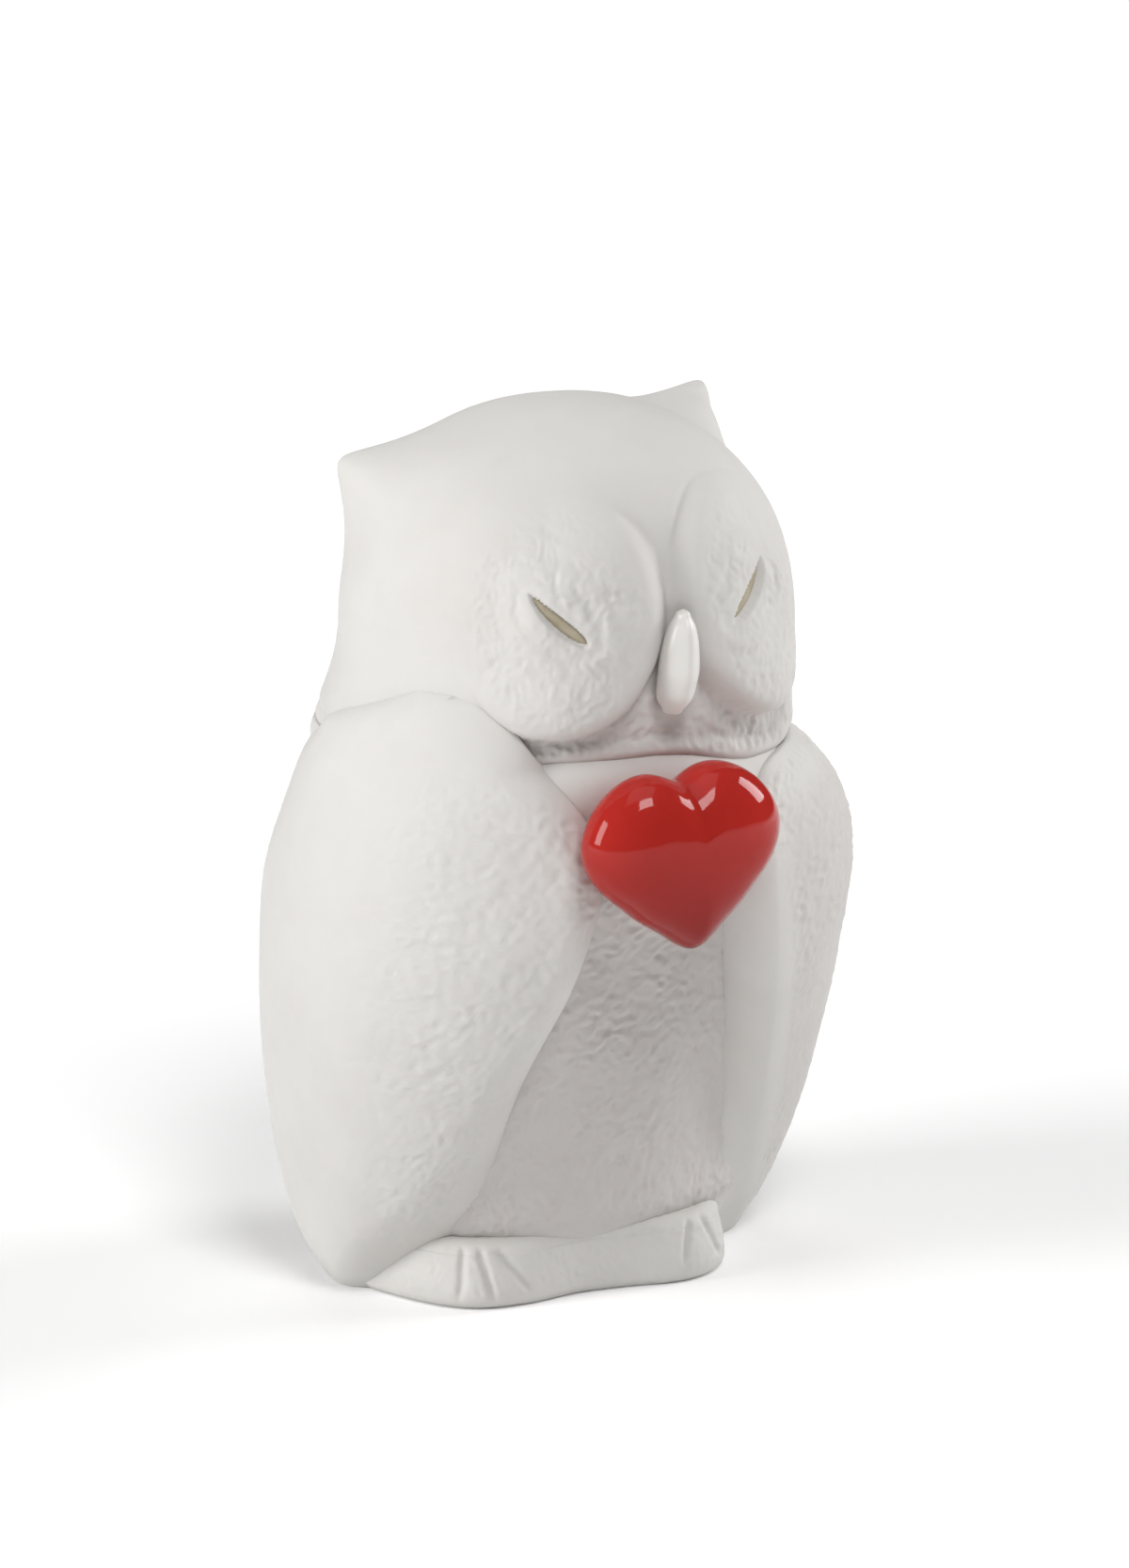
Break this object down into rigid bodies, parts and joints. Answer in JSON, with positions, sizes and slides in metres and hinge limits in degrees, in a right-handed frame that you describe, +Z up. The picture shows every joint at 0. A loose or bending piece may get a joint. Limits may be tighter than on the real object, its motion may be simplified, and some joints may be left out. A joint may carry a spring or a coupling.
{
  "type": "owl figurine",
  "caption": "Standing owl figurine in matte white bisque with closed eyes, its folded wings holding a glossy red heart below the beak.",
  "frame": {"origin": "middle of the overall bounding box in plan, on the plane the figurine stands on", "axes": "+Z up, the owl faces -Y, its own left side is +X"},
  "size_m": [0.0738, 0.066, 0.1054],
  "materials": {
    "bisque": "matte unglazed bisque, lightly stippled",
    "beak_glaze": "smooth satin white",
    "red_glaze": "high gloss red glaze",
    "eye_pigment": "matte fired olive-grey pigment",
    "slip": "matte fired slip",
    "adhesive": "clear hardened adhesive"
  },
  "bodies": {
    "root": {"body_casting": "bisque", "head_casting": "bisque", "neck_slip_seam": "slip", "right_wing_casting": "bisque", "left_wing_casting": "bisque", "foot_ledge_casting": "bisque", "beak": "beak_glaze", "right_eye_line": "eye_pigment", "left_eye_line": "eye_pigment", "heart_casting": "red_glaze", "heart_bond": "adhesive"}
  },
  "joints": []
}
